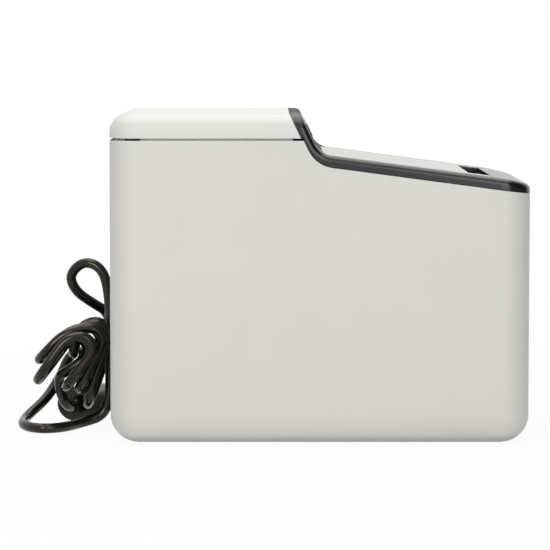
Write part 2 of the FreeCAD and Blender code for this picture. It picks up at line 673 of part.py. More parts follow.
def lid_shell():
    """The white lid: a thin rounded cap, cut off along the riser, with two hinge knuckles at the back."""
    body = new_body("lid_shell")
    base = number(LID_BASE)
    pad(body, "cap", sketch_in(body, "cap_plan", "XY_Plane", plan(), LID_BASE), f"size.height - ({LID_BASE})")
    round_edges(body, "cap_corners", "size.corner_round", lambda e, p: runs_along(e, Vector(0, 0, 1)))
    top = number("size.height")
    round_edges(body, "cap_crown", "size.lid_round", lambda e, p: close(p.z, top))
    tip = body.Tip
    mouth = [f"Face{i + 1}" for i, f in enumerate(tip.Shape.Faces) if close(f.BoundBox.ZMax, base)]
    hollow = body.newObject("PartDesign::Thickness", "cap_walls")
    hollow.Base = (tip, mouth)
    hollow.setExpression("Value", "size.wall")
    hollow.Reversed = True
    doc.recompute()
    high, low, ahead = "size.height + 5", "size.rim - 5", "-size.depth / 2 - 10"
    shift = "size.trim_back"
    front = [(riser_at(low, shift), low), (riser_at(high, shift), high), (ahead, high), (ahead, low)]
    pocket(body, "front_off", sketch_in(body, "front_off_side", "YZ_Plane", front), "size.width + 20")
    long = "size.knuckle_out - size.knuckle_in"
    for i, start in enumerate(("size.knuckle_in", "-size.knuckle_out")):
        rod(f"knuckle_{i}", "size.knuckle", start, "size.hinge_back", "size.hinge_up", long,
            "X", "PartDesign::AdditiveCylinder", body)
    for low_x, high_x in EARS:
        for sign in (-1, 1):
            start, end = sorted((sign * (low_x - 0.4), sign * (high_x + 0.4)))
            block(f"ear_room_{low_x:.0f}_{sign + 1}", (start, end),
                  ("size.hinge_back - 4.2", "size.depth / 2 + 2"),
                  ("size.rim", "size.hinge_up + size.knuckle + 0.4"), "PartDesign::SubtractiveBox", body)
    rod("knuckle_bore", "size.pin_radius + 0.05", -60, "size.hinge_back", "size.hinge_up", 120,
        "X", "PartDesign::SubtractiveCylinder", body)
    doc.recompute()
    return body


LEAN = "atan(size.riser_lean)"
FACING = Vector(0, -1, number("size.riser_lean")).normalize()
OUT_OF_RISER = Rotation(Vector(0, 0, 1), FACING)


def riser_point(off, up="size.key_up"):
    """The point of the riser's face at a height, then moved straight out of the face."""
    return f"{riser_at(up, TRIM_HIGH[0])} - cos({LEAN}) * ({off})", f"{up} + sin({LEAN}) * ({off})"


def riser_rod(name, radius, x, off, length, **kind):
    """A rod square to the riser's face, starting at a depth below or above it."""
    return rod(name, radius, x, *riser_point(off), length, OUT_OF_RISER, **kind)


def riser_plate(off, low, high):
    """A plate's side outline, parallel to the riser's face, between two depths and two heights."""
    return [riser_point(off[0], low), riser_point(off[1], low),
            riser_point(off[1], high), riser_point(off[0], high)]


def panel_slab(back, front, bottom, top):
    """A strip along the slope, between two lifts over the parting line."""
    return [(back, slope_up(back, bottom)), (back, slope_up(back, top)), (front, slope_up(front, top)),
            (front, slope_up(front, bottom))]


KEYS = {"power_button": "-size.key_apart", "feed_button": "size.key_apart"}
RISER_LOW, RISER_HIGH, RISER_HALF = "154.8", "165", 46


def trim_frame():
    """The black frame: a riser wall and a sloped rim round the front panel, in one bent section."""
    body = new_body("trim_frame")
    top, front = "size.height", f"-({HALF_DEEP})"
    step = LID_BASE
    crest = "size.nose_back"
    nose = f"{TRIM_HIGH[1]} - (size.nose_back + size.depth / 2)^2 / (2 * size.nose_round)"
    outline = [(riser_at(top, "size.trim_back"), top), (riser_at(step, "size.trim_back"), step),
               (riser_at(step, TRIM_LOW[0]), step), bend(*TRIM_LOW), (front, slope_up(front, TRIM_LOW[1])),
               (front, slope_up(front, nose), "-size.nose_round"), (crest, slope_up(crest, TRIM_HIGH[1])),
               bend(*TRIM_HIGH), (riser_at(top, TRIM_HIGH[0]), top)]
    pad(body, "bent_slab", sketch_in(body, "bent_side", "YZ_Plane", outline), "size.width", True)
    across = Vector(1, 0, 0)
    for name, corner, radius in (("bend_under", bend(*TRIM_LOW), "size.bend_round - size.trim_gap"),
                                 ("bend_over", bend(*TRIM_HIGH), "size.bend_round - size.trim_deep")):
        spot = Vector(0, number(corner[0]), number(corner[1]))
        round_edges(body, name, radius,
                    lambda e, p: runs_along(e, across) and (Vector(0, p.y, p.z) - spot).Length < 0.1)
    half, ahead = number(HALF_WIDE), number(front)
    inside, below, beyond, above = (f"({HALF_WIDE} - size.lid_round)", f"({top} - size.lid_round)",
                                    f"({HALF_WIDE} + 2)", f"({top} + 2)")
    right = [(inside, top, "-size.lid_round"), (HALF_WIDE, below), (beyond, below),
             (beyond, above), (inside, above)]
    left = [(f"-({HALF_WIDE})", below, "-size.lid_round"), (f"-{inside}", top), (f"-{inside}", above),
            (f"-{beyond}", above), (f"-{beyond}", below)]
    for name, outline in (("crown_right", right), ("crown_left", left)):
        pocket(body, name, sketch_in(body, f"{name}_front", "XZ_Plane", outline), "size.depth")
    round_edges(body, "front_corners", "size.corner_round",
                lambda e, p: runs_along(e, Vector(0, 0, 1)) and close(p.y, ahead) and close(abs(p.x), half))
    level, fall, bow = (number(v) for v in (slope_up(0, TRIM_HIGH[1]), "size.slope", "size.nose_round"))

    def on_rim(e, p):
        past = max(0, number(crest) - p.y)
        top_there = level + fall * p.y - past**2 / (2 * bow)
        return p.y < -7 and abs(p.z - top_there) < 0.15 and (close(p.y, ahead) or not runs_along(e, across))

    round_edges(body, "soft_edge", "size.trim_edge", on_rim)
    lift = TRIM_HIGH[1]
    under = f"{lift} - size.panel_thick - 0.1"
    rebate = panel_slab("size.panel_back + 0.2", "size.panel_front - 0.3", under, f"{lift} + 5")
    seat = sketch_in(body, "panel_seat_side", "YZ_Plane", rebate)
    pocket(body, "panel_seat", seat, "2 * size.panel_half + 0.5")
    opening = panel_slab("size.panel_back - size.ledge", "size.panel_front - 0.3", -5, f"{lift} + 5")
    pocket(body, "panel_opening", sketch_in(body, "panel_opening_side", "YZ_Plane", opening),
           "2 * (size.panel_half - size.ledge)")
    recess = riser_plate((-1.6, 4), f"{RISER_LOW} - 0.1", f"{RISER_HIGH} + 0.1")
    pocket(body, "riser_seat", sketch_in(body, "riser_seat_side", "YZ_Plane", recess), 2 * RISER_HALF + 0.4)
    room = riser_plate((-8, -4.1), "159", "168")
    pocket(body, "key_room", sketch_in(body, "key_room_side", "YZ_Plane", room), 120)
    bore = {"kind": "PartDesign::SubtractiveCylinder", "owner": body}
    for name, x in KEYS.items():
        riser_rod(f"{name}_hole", "size.key_radius + 0.35", x, -9, 14, **bore)
    riser_rod("lens_hole", 1.3, 0, -9, 14, **bore)
    for i, x in enumerate((-26, 26)):
        riser_rod(f"board_post_{i}", 2, x, -7.6, 4, kind="PartDesign::AdditiveCylinder", owner=body)
    doc.recompute()
    return body


def front_panel():
    """The pale sloped panel, cut out along the front for the label slot."""
    body = new_body("front_panel")
    lift = TRIM_HIGH[1]
    side = panel_slab("size.panel_back", "size.panel_front", f"{lift} - size.panel_thick", lift)
    pad(body, "panel_blank", sketch_in(body, "panel_side", "YZ_Plane", side), "2 * size.panel_half", True)
    slot = panel_slab("size.slot_back", "size.panel_front - 5", 0, f"{lift} + 5")
    pocket(body, "label_slot", sketch_in(body, "slot_side", "YZ_Plane", slot), "2 * size.slot_half")
    return body


def riser_panel():
    """The glossy control strip on the riser, a little proud of the frame."""
    plate = prism("strip", riser_plate((-1.5, 0.5), RISER_LOW, RISER_HIGH), (-RISER_HALF, RISER_HALF))
    holes = [riser_rod(f"{name}_window", "size.key_radius + 0.35", x, -5, 10) for name, x in KEYS.items()]
    return cut("riser_panel", plate, *holes, riser_rod("lens_window", 1.3, 0, -5, 10))


def key(name):
    """A round key: its cap stands out of the strip and its flange stays behind the frame."""
    cap = riser_rod(f"{name}_cap", "size.key_radius", KEYS[name], -5, 5.75)
    flange = riser_rod(f"{name}_flange", "size.key_radius + 1.3", KEYS[name], -6, 1.1)
    return fuse(name, cap, flange)


def power_button():
    return key("power_button")


def feed_button():
    return key("feed_button")


def status_lens():
    return riser_rod("status_lens", 1.2, 0, -7.4, 8.1)


def button_board():
    return prism("button_board", riser_plate((-9.2, -7.6), "156", "165"), (-32, 32))


COVER_SCREWS = [(-44, 40), (44, 40), (-44, 84), (44, 84)]


def cover_liner():
    """The dark moulding under the lid, stepped like the parting line, on four bosses."""
    low, high = "163", "163 + size.liner_thick"
    ahead, behind = "9", "9 + size.liner_thick * 1.1"
    under, over = "-0.4 - size.liner_thick", "-0.4"
    outline = [("96", high), ("96", low), (riser_at(low, behind), low), bend(behind, under),
               ("-66", slope_up(-66, under)), ("-66", slope_up(-66, over)), bend(ahead, over),
               (riser_at(high, ahead), high)]
    sheet = prism("liner_sheet", outline, ("-size.liner_half", "size.liner_half"))
    bosses, holes = [], []
    for i, (x, y) in enumerate(COVER_SCREWS):
        bosses.append(rod(f"boss_{i}", 4, x, y, "163", "size.height - size.wall - 163", "Z"))
        holes.append(rod(f"boss_hole_{i}", 1.4, x, y, "160", "8.4", "Z"))
    return cut("cover_liner", fuse("liner_blank", sheet, *bosses), *holes)


def cover_screws():
    screws = []
    for i, (x, y) in enumerate(COVER_SCREWS):
        head = rod(f"cover_head_{i}", 2.7, x, y, "161.4", "1.6", "Z")
        shank = rod(f"cover_shank_{i}", 1.35, x, y, "162", "6", "Z")
        screws.append(fuse(f"cover_screw_{i}", head, shank))
    return group("cover_screws", *screws)


def tear_bar():
    """A steel strip on the front wall of the slot, with fine teeth along its top."""
    teeth, half, pitch = 47, number("size.slot_half") - 1, 2
    back = number("size.panel_front") - 0.3
    top = number(slope_up(back, TRIM_HIGH[1])) - 2.6
    points = [Vector(-half, back, top - 5), Vector(half, back, top - 5)]
    for i in range(teeth):
        points += [Vector(half - pitch * i, back, top - 1), Vector(half - pitch * (i + 0.5), back, top)]
    points.append(Vector(-half, back, top - 1))
    return solid("tear_bar", Part.Face(Part.makePolygon(points + points[:1])).extrude(Vector(0, 0.8, 0)))


def gap_sensor():
    under = "-0.4 - size.liner_thick"
    outline = [("-24", slope_up(-24, under)), ("-16", slope_up(-16, under)), ("-16", slope_up(-16, -6.5)),
               ("-18", slope_up(-18, -8)), ("-22", slope_up(-22, -8)), ("-24", slope_up(-24, -6.5))]
    return prism("gap_sensor", outline, (-5, 5))


ROLL = ("size.roll_back", "size.roll_up")


def ring(name, outer, inner, x):
    length = f"({x[1]}) - ({x[0]})"
    body = rod(f"{name}_blank", outer, x[0], *ROLL, length)
    hole = rod(f"{name}_hole", inner, f"{x[0]} - 1", *ROLL, f"{length} + 2")
    return cut(name, body, hole)


def label_roll():
    return ring("label_roll", "size.roll_radius", "size.core_radius", ("-size.roll_half", "size.roll_half"))


def roll_core():
    across = ("-size.roll_half", "size.roll_half")
    return ring("roll_core", "size.core_radius", "size.core_radius - 1.2", across)


def spool_spindle():
    """The axle through the roll: a fat barrel with a thin journal at each end."""
    barrel = rod("spool_barrel", "size.core_radius - 1.2", "-size.roll_half - 2.3", *ROLL,
                 "2 * size.roll_half + 4.6")
    journal = rod("spool_journal", "size.journal", -56, *ROLL, 112)
    return fuse("spool_spindle", barrel, journal)


def spool_flanges():
    flanges = []
    for side, start in ((1, "size.roll_half + 0.2"), (-1, "-size.roll_half - 2.2")):
        disc = ring(f"flange_{side + 1}", 31, "size.core_radius - 1.2", (start, f"{start} + 2"))
        holes = [rod(f"flange_eye_{side + 1}_{i}", 5, -60, f"size.roll_back + 21.5 * cos({60 * i})",
                     f"size.roll_up + 21.5 * sin({60 * i})", 120) for i in range(6)]
        flanges.append(cut(f"flange_disc_{side + 1}", disc, *holes))
    return group("spool_flanges", *flanges)


CORD = number("size.cord_radius")
EXIT = Vector(number("size.inlet_across"), 126, number("size.inlet_up"))
PLUG_END = Vector(19, 133.2, 9.8)
PLUG_WAY = Vector(math.cos(math.radians(15)), -math.sin(math.radians(15)), 0)
PLUG_SIDE = Vector(-PLUG_WAY.y, PLUG_WAY.x, 0)


def oval_bar(start, side, half, tall, way):
    """A bar with round ends to each side, from start along way: half its width, half its height."""
    up = Vector(0, 0, tall)
    reach = side * (half - tall)
    out = side * half
    corners = [start - reach - up, start + reach - up, start + reach + up, start - reach + up]
    edges = [Part.LineSegment(corners[0], corners[1]), Part.Arc(corners[1], start + out, corners[2]),
             Part.LineSegment(corners[2], corners[3]), Part.Arc(corners[3], start - out, corners[0])]
    return Part.Face(Part.Wire([edge.toShape() for edge in edges])).extrude(way)


def relief(start, way, thick, thin, length):
    """A tapered sleeve where the cord enters, with four grooves round it."""
    sleeve = Part.makeCone(thick, thin, length, start, way)
    for i in range(4):
        ring = Part.makeCylinder(thick + 1, length / 12, start + way * length * (2 * i + 2) / 10, way)
        core = Part.makeCylinder(thin - 0.5, length, start, way)
        sleeve = sleeve.cut(ring.cut(core))
    return sleeve


def cord_connector():
    """The moulded connector in the inlet: a nose with two bores, a grip and a relief."""
    back = Vector(0, 1, 0)
    side = Vector(1, 0, 0)
    face = Vector(EXIT.x, number(HALF_DEEP) + 0.4, EXIT.z)
    nose = oval_bar(face - back * 10, side, 7, 3.7, back * 10)
    for sign in (-1, 1):
        nose = nose.cut(Part.makeCylinder(1.5, 8, face - back * 10 + side * sign * PIN_APART, back))
    grip = oval_bar(face, side, 8.6, 5.6, back * 8)
    neck = face + back * 8
    sleeve = relief(neck, back, 4.8, 3.3, EXIT.y - neck.y)
    return solid("cord_connector", nose.fuse([grip, sleeve]).removeSplitter())


def mains_plug():
    """The moulded plug that lies on the table behind the hank."""
    neck = PLUG_END + PLUG_WAY * 11
    body = oval_bar(neck, PLUG_SIDE, 12.5, 9.4, PLUG_WAY * 24)
    return solid("mains_plug", body.fuse(relief(neck, -PLUG_WAY, 5, 3.3, 11)).removeSplitter())


def plug_pins():
    face = PLUG_END + PLUG_WAY * 35
    pins = []
    for sign in (-1, 1):
        foot = face + PLUG_SIDE * sign * 7.5
        pins.append(Part.makeCylinder(2, 15, foot, PLUG_WAY).fuse(Part.makeSphere(2, foot + PLUG_WAY * 15)))
    return solid("plug_pins", Part.makeCompound(pins))


def racetrack(turn, run, wide):
    """How far along and across a flat racetrack some turns lead, from the middle of its left end."""
    bend_long = math.pi * wide
    way = (turn % 1) * 2 * (run + bend_long) - bend_long / 2
    if way < 0:
        return -run / 2 - wide * math.sin(-way / wide), -wide * math.cos(way / wide)
    if way < run:
        return way - run / 2, -wide
    way -= run
    if way < bend_long:
        return run / 2 + wide * math.sin(way / wide), -wide * math.cos(way / wide)
    way -= bend_long
    if way < run:
        return run / 2 - way, wide
    way -= run
    return -run / 2 - wide * math.sin(way / wide), wide * math.cos(way / wide)


def hank_point(turn):
    """The middle of the cord after some turns, each a racetrack bent over into an arch and fanned out."""
    wide = number("size.hank_wide")
    arch, end, low = turn - 1.25, turn - 1, turn - 1.5
    tuck = min(max(2 * turn - 4.5, 0), 1)
    tuck = tuck**2 * (3 - 2 * tuck)
    left = (32.6 + 0.4 * end) * (1 - tuck) + 23.2 * tuck
    right = 38.8 + 3.5 * low + 2.3 * low * (low - 1)
    along, across = racetrack(turn, left + right - 2 * wide, wide)
    along += (right - left) / 2
    if along < 0:
        side, radius = 1, (9.5 + 14.5 * end) * (1 - tuck) + 11.1 * tuck
        bent = lean = math.radians((54 - 8 * end) * (1 - tuck) + 84 * tuck)
    else:
        side, radius = -1, 6.6 + 0.15 * arch
        lean = math.radians(36.5 + 10 * turn - 28 * max(0, 1 - turn))
        bent = math.pi - lean
    angle = min(abs(along) / radius, bent)
    straight = abs(along) - radius * angle
    bow = 1.15 * arch * (arch - 1)
    back = 126.3 - 4.8 * arch + bow + side * radius * math.sin(angle) + straight * math.cos(lean)
    up = 52.1 + 3.7 * arch - bow - radius * (1 - math.cos(angle)) - straight * math.sin(lean)
    return Vector(across - 18 + number("size.hank_step") * turn, back, up)


HANK_TURNS = (3.782, 0.67)


def hank_way(turn):
    """Which way the cord runs there, from the connector towards the plug."""
    return (hank_point(turn - 0.002) - hank_point(turn + 0.002)).normalize()


HANK_START = hank_point(HANK_TURNS[0]) - hank_way(HANK_TURNS[0]) * 2 * CORD
HANK_END = hank_point(HANK_TURNS[1]) + hank_way(HANK_TURNS[1]) * 2 * CORD


def arc_from(start, way, end):
    """The arc that leaves start along way and ends at end, or a line where there is no turn."""
    chord = end - start
    half_turn = way.getAngle(chord)
    if half_turn < 1e-4:
        return Part.LineSegment(start, end)
    out = way * (chord.Length / 2 / math.cos(half_turn)) - chord / 2
    middle = start + chord / 2 + out.normalize() * chord.Length / 2 * math.tan(half_turn / 2)
    return Part.Arc(start, middle, end)


def two_arcs(start, way, end, end_way):
    """Two arcs that meet smoothly between two points and the ways through them."""
    span = end - start
    both = way + end_way
    spread = 2 * (1 - way.dot(end_way))
    reach = span.dot(span) / (2 * span.dot(both))
    if spread > 1e-6:
        reach = (math.sqrt(span.dot(both) ** 2 + spread * span.dot(span)) - span.dot(both)) / spread
    meet = (start + way * reach + end - end_way * reach) / 2
    first = arc_from(start, way, meet)
    back = arc_from(end, -end_way, meet)
    back.reverse()
    return [first, back]


def tube(name, curves):
    """A round cord along a smooth run of lines and arcs, its volume checked against its length."""
    path = Part.Wire([curve.toShape() for curve in curves])
    start = curves[0].StartPoint
    way = Vector(*curves[0].tangent(curves[0].FirstParameter)[0])
    ring = Part.Wire(Part.makeCircle(CORD, start, way))
    shape = path.makePipeShell([ring], True, False)
    expected = math.pi * CORD**2 * path.Length
    print(f"{name}: {path.Length:.0f} mm long, volume {shape.Volume / expected:.4f} of section by length")
    if abs(shape.Volume / expected - 1) > 0.02:
        raise ValueError(f"{name} is not swept whole")
    return solid(name, shape)


def bent_run(name, points):
    """Straight runs joined by arcs as wide as the shorter run beside each corner allows."""
    curves, radii = [], []
    last = points[0]
    for before, corner, after in zip(points, points[1:], points[2:]):
        into, out = corner - before, after - corner
        reach = 0.45 * min(into.Length, out.Length)
        start = corner - into.normalize() * reach
        end = corner + out.normalize() * reach
        radii.append(reach / math.tan(into.getAngle(out) / 2))
        curves += [Part.LineSegment(last, start), arc_from(start, into, end)]
        last = end
    curves.append(Part.LineSegment(last, points[-1]))
    print(f"{name}: bends of {', '.join(f'{radius:.0f}' for radius in radii)} mm")
    return tube(name, curves)


def cord_lead():
    """From the connector over the table, up the wall to the standing loop, and down to the hank."""
    route = [(36, 131.5, 38), (35, 136.5, 35), (31, 140, 26), (23, 147.5, 13.5), (11, 158.5, 4.5),
             (-9, 158.5, 2.9), (-22, 147, 2.8), (-15.5, 135.5, 2.8), (-1, 127.5, 3.2), (1.5, 114.5, 7),
             (1.2, 111.5, 21), (0.2, 111.9, 37), (1.2, 111.5, 54), (1.2, 112.1, 72), (1.5, 115.2, 86),
             (4, 125.2, 90.6), (7.6, 134, 82.6), (10.3, 130.8, 73.4), (13.3, 121.6, 66.6)]
    above = HANK_START - hank_way(HANK_TURNS[0]) * 5
    return bent_run("cord_lead", [EXIT, *[Vector(*point) for point in route], above, HANK_START])


def cord_hank():
    """The tied bundle, one unbroken cord from the standing loop to the plug's tail."""
    first, last = HANK_TURNS
    count = 84
    turns = [first + (last - first) * i / count for i in range(count + 1)]
    points = [hank_point(turn) for turn in turns]
    ways = [hank_way(turn) for turn in turns]
    curves = [Part.LineSegment(HANK_START, points[0])]
    for i in range(count):
        curves += two_arcs(points[i], ways[i], points[i + 1], ways[i + 1])
    curves.append(Part.LineSegment(points[-1], HANK_END))
    bends = [curve.toShape().Curve for curve in curves if not isinstance(curve, Part.LineSegment)]
    tightest = min(bent.Radius for bent in bends)
    print(f"cord_hank: {first - last:.2f} turns, tightest bend {tightest:.1f} mm, gap {hank_gap():.2f} mm")
    return tube("cord_hank", curves)


def hank_gap():
    """The least room between two strands of the hank, measured on points along its middle."""
    first, last = HANK_TURNS
    points = [hank_point(first + (last - first) * i / 500) for i in range(501)]
    apart = 20
    return min((a - b).Length for i, a in enumerate(points) for b in points[i + apart:]) - 2 * CORD


def cord_tail():
    """From the hank down to the plug."""
    below = HANK_END + hank_way(HANK_TURNS[1]) * 4
    route = [(0, 139.5, 28.5), (5.5, 139.2, 20.5), (7.6, 137.6, 13.6)]
    points = [HANK_END, below, *[Vector(*point) for point in route], PLUG_END - PLUG_WAY * 8, PLUG_END]
    return bent_run("cord_tail", points)


PIECES = [
    body_shell, base_plate, rubber_feet, base_screws, inner_chassis, mechanism_frame, platen_bushes,
    stepper_motor, idler_stud, exit_guide, main_board, board_standoffs, board_components, power_inlet,
    inlet_contacts, usb_socket, hinge_bracket, hinge_pins, lid_shell, trim_frame, front_panel, riser_panel,
    power_button, feed_button, status_lens, button_board, cover_liner, cover_screws, head_hanger, head_pivot,
    tear_bar, gap_sensor, print_head, heat_sink, head_springs, label_roll, roll_core, spool_spindle,
    spool_flanges, platen_shaft, platen_rubber, platen_gear, idler_gear, motor_shaft, motor_pinion,
    cord_connector, cord_lead, cord_hank, cord_tail, mains_plug, plug_pins,
]


def write_parts():
    made = [make() for make in PIECES]
    doc.recompute()
    broken = [o.Name for o in doc.Objects if "Invalid" in o.State or "Error" in o.State]
    broken += [o.Name for o in made if o.Shape.isNull() or not o.Shape.isValid()]
    if broken:
        raise ValueError(f"these failed: {broken}")
    os.makedirs("parts", exist_ok=True)
    for piece in made:
        piece.Label = piece.Name
        piece.Shape.exportStep(f"parts/{piece.Label}.step")
        print(f"{piece.Label}: {len(piece.Shape.Solids)} solids, {piece.Shape.Volume:.0f} mm3")


write_parts()
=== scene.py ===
# %% [markdown]
# A compact label printer stands on a white table, seen from its left side, with its mains cord still tied in
# the hank that it came in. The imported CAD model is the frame: its nodes are already the right size and in the
# right place, so this lesson only lights them, gives each a finish and makes the pieces that bend.

# %% Load the frame
import math

import bmesh
import bpy
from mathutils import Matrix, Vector


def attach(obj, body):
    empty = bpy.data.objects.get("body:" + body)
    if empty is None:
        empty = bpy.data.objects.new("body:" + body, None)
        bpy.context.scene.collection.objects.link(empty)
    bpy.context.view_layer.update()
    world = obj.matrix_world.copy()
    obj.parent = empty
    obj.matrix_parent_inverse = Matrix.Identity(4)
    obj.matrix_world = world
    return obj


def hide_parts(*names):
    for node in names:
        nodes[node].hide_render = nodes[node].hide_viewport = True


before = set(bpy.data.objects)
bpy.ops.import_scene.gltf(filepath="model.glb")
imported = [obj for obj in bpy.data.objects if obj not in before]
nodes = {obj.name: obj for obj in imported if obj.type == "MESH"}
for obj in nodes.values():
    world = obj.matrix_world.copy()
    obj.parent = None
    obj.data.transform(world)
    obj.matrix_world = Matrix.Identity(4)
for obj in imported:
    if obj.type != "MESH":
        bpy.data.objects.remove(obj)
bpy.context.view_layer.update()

# %% [markdown]
# The picture was taken from far away with a long lens, so the sides hardly taper. How much the far edge of the
# sloped front draws in gives the distance, and the tilt follows from how much of the top shows. A camera that
# is aimed with a track quaternion needs no turning by hand.

# %% Camera
EYE = Vector((-1.5485, 0.0231, 0.2067))
TILT = math.radians(4.57)
SENSOR = 36.0
PICTURE = 550
FOCAL_PIXELS = 2900

camera_data = bpy.data.cameras.new("side_camera")
camera_data.sensor_width = SENSOR
camera_data.lens = FOCAL_PIXELS / PICTURE * SENSOR
camera_data.clip_end = 50
camera = bpy.data.objects.new("side_camera", camera_data)
bpy.context.scene.collection.objects.link(camera)
camera.location = EYE
camera.rotation_mode = "QUATERNION"
camera.rotation_quaternion = Vector((math.cos(TILT), 0, -math.sin(TILT))).to_track_quat("-Z", "Y")
bpy.context.scene.camera = camera
print(f"lens {camera_data.lens:.1f} mm")

# %% [markdown]
# Shader maths reads best as plain expressions. One small class wraps a socket, so that `1 - mask` or
# `bump * 0.3 + grain` adds the Math nodes by itself. Only the operators that the finishes need are there.


# %% Shader expressions
class Wire:
    """A number that varies over a surface, as a socket that Python's operators work on."""

    def __init__(self, finish, socket):
        self.finish = finish
        self.socket = socket

    def math(self, operation, *values):
        made = self.finish.node("ShaderNodeMath", {"operation": operation}, dict(enumerate(values)))
        return Wire(self.finish, made.outputs[0])

    def __add__(self, other):
        return self.math("ADD", self, other)

    __radd__ = __add__

    def __sub__(self, other):
        return self.math("SUBTRACT", self, other)

    def __rsub__(self, other):
        return self.math("SUBTRACT", other, self)

    def __mul__(self, other):
        return self.math("MULTIPLY", self, other)

    __rmul__ = __mul__

    def __pow__(self, other):
        return self.math("POWER", self, other)

    def between(self, low, high):
        """0 below low, 1 above high, and smooth in between."""
        settings = {"interpolation_type": "SMOOTHSTEP"}
        sockets = {"Value": self, "From Min": low, "From Max": high}
        return Wire(self.finish, self.finish.node("ShaderNodeMapRange", settings, sockets).outputs[0])


print("a Wire takes + - * and **, and numbers on either side")

# %% [markdown]
# A second class holds one finish, that is one material. Its node method makes any node from a type, its settings
# and its sockets, so that no finish has to wire nodes by hand. Noise is asked for in millimetres, because a grain
# is easier to judge on the real thing than as a scale. All patterns read Object coordinates, which stay put when
# a piece moves.


# %% One finish
class Finish:
    """One material, with the few nodes that it is made of."""

    def __init__(self, name, **numbers):
        self.material = bpy.data.materials.new(name)
        self.material.use_nodes = True
        self.tree = self.material.node_tree
        self.shader = self.tree.nodes["Principled BSDF"]
        self.place = self.node("ShaderNodeTexCoord").outputs["Object"]
        for socket, value in numbers.items():
            self.set(socket.replace("_", " ").title().replace("Ior", "IOR"), value)

    def join(self, socket, value):
        if isinstance(value, Wire):
            value = value.socket
        if isinstance(value, bpy.types.NodeSocket):
            self.tree.links.new(value, socket)
        else:
            socket.default_value = value

    def node(self, kind, settings=None, sockets=None):
        made = self.tree.nodes.new(kind)
        for name, value in (settings or {}).items():
            setattr(made, name, value)
        for name, value in (sockets or {}).items():
            self.join(made.inputs[name], value)
        return made

    def set(self, socket, value):
        self.join(self.shader.inputs[socket], value)

    def noise(self, millimetres, detail=2.0, stretch=(1, 1, 1)):
        """Cloudy noise whose blobs are about that large, longer where stretch is over 1."""
        scale = [1 / way for way in stretch]
        sockets = {"Vector": self.place, "Scale": scale}
        place = self.node("ShaderNodeMapping", {"vector_type": "POINT"}, sockets)
        sockets = {"Vector": place.outputs[0], "Scale": 1000 / millimetres, "Detail": detail}
        return Wire(self, self.node("ShaderNodeTexNoise", None, sockets).outputs["Fac"])

    def axes(self):
        split = self.node("ShaderNodeSeparateXYZ", None, {"Vector": self.place})
        return [Wire(self, socket) for socket in split.outputs]

    def mix(self, share, first, second):
        """A colour between two, by a share that varies."""
        made = self.node("ShaderNodeMix", {"data_type": "RGBA"}, {0: share})
        for socket, colour in ((made.inputs[6], first), (made.inputs[7], second)):
            self.join(socket, colour if isinstance(colour, bpy.types.NodeSocket) else (*colour, 1))
        return made.outputs[2]

    def bump(self, height, millimetres):
        """Relief of that depth, where height runs from 0 to 1."""
        sockets = {"Height": height, "Distance": millimetres / 1000}
        self.set("Normal", self.node("ShaderNodeBump", None, sockets).outputs[0])

    def paint(self, *names):
        for name in names:
            slots = nodes[name].data.materials
            slots.clear()
            slots.append(self.material)
        print(f"{self.material.name}: {', '.join(names)}")
        return self


print("a Finish paints nodes by name")

# %% [markdown]
# The background of the picture is pure white, with only a breath of shadow under the housing. A white surround
# would flood the printer with light, so the white is shown only to rays that the eye follows: those from the
# camera, from a reflection or through a clear piece. The Light Path node tells them apart.


# %% Rays that are seen
def seen_rays(finish_tree):
    """1 for rays that come from the camera, a reflection or a clear piece."""
    rays = finish_tree.nodes.new("ShaderNodeLightPath")
    seen = rays.outputs["Is Camera Ray"]
    for name in ("Is Glossy Ray", "Is Transmission Ray"):
        either = finish_tree.nodes.new("ShaderNodeMath")
        either.operation = "MAXIMUM"
        finish_tree.links.new(seen, either.inputs[0])
        finish_tree.links.new(rays.outputs[name], either.inputs[1])
        seen = either.outputs[0]
    return seen


print("white is kept for camera, glossy and transmission rays")

# %% [markdown]
# The table is a pale diffuse sheet with a white glow mixed in for those rays. Near the printer a little of the
# sheet still shows through the glow, so that its shadow stays. Further out the glow takes over and the far edge of
# the table can't be told from the background.

# %% White table
FLOOR_HALF = 6.0
FLOOR_GLOW = 0.95
FLOOR_FADE = (0.2, 0.6)

table_bm = bmesh.new()
bmesh.ops.create_grid(table_bm, x_segments=1, y_segments=1, size=FLOOR_HALF)
table_mesh = bpy.data.meshes.new("table_top")
table_bm.to_mesh(table_mesh)
table_bm.free()
table_top = bpy.data.objects.new("table_top", table_mesh)
bpy.context.scene.collection.objects.link(table_top)

table = Finish("white_table", roughness=0.9, base_color=(0.8, 0.8, 0.8, 1))
glow = table.node("ShaderNodeEmission", None, {"Color": (1, 1, 1, 1), "Strength": 1.0})
reach = table.node("ShaderNodeVectorMath", {"operation": "LENGTH"}, {0: table.place})
distance = Wire(table, reach.outputs["Value"])
share = Wire(table, seen_rays(table.tree)) * (FLOOR_GLOW + (1 - FLOOR_GLOW) * distance.between(*FLOOR_FADE))
either = table.node("ShaderNodeMixShader", None, {0: share, 1: table.shader.outputs[0], 2: glow.outputs[0]})
table.tree.links.new(either.outputs[0], table.tree.nodes["Material Output"].inputs[0])
table_mesh.materials.append(table.material)
print(f"table {2 * FLOOR_HALF} m wide, all white from {FLOOR_FADE[1]} m out")

# %% [markdown]
# The world is white to the same rays and a faint grey to all others. The faint part fills the deepest shadows, as
# the walls of a studio do.

# %% White room
AMBIENT = 0.06

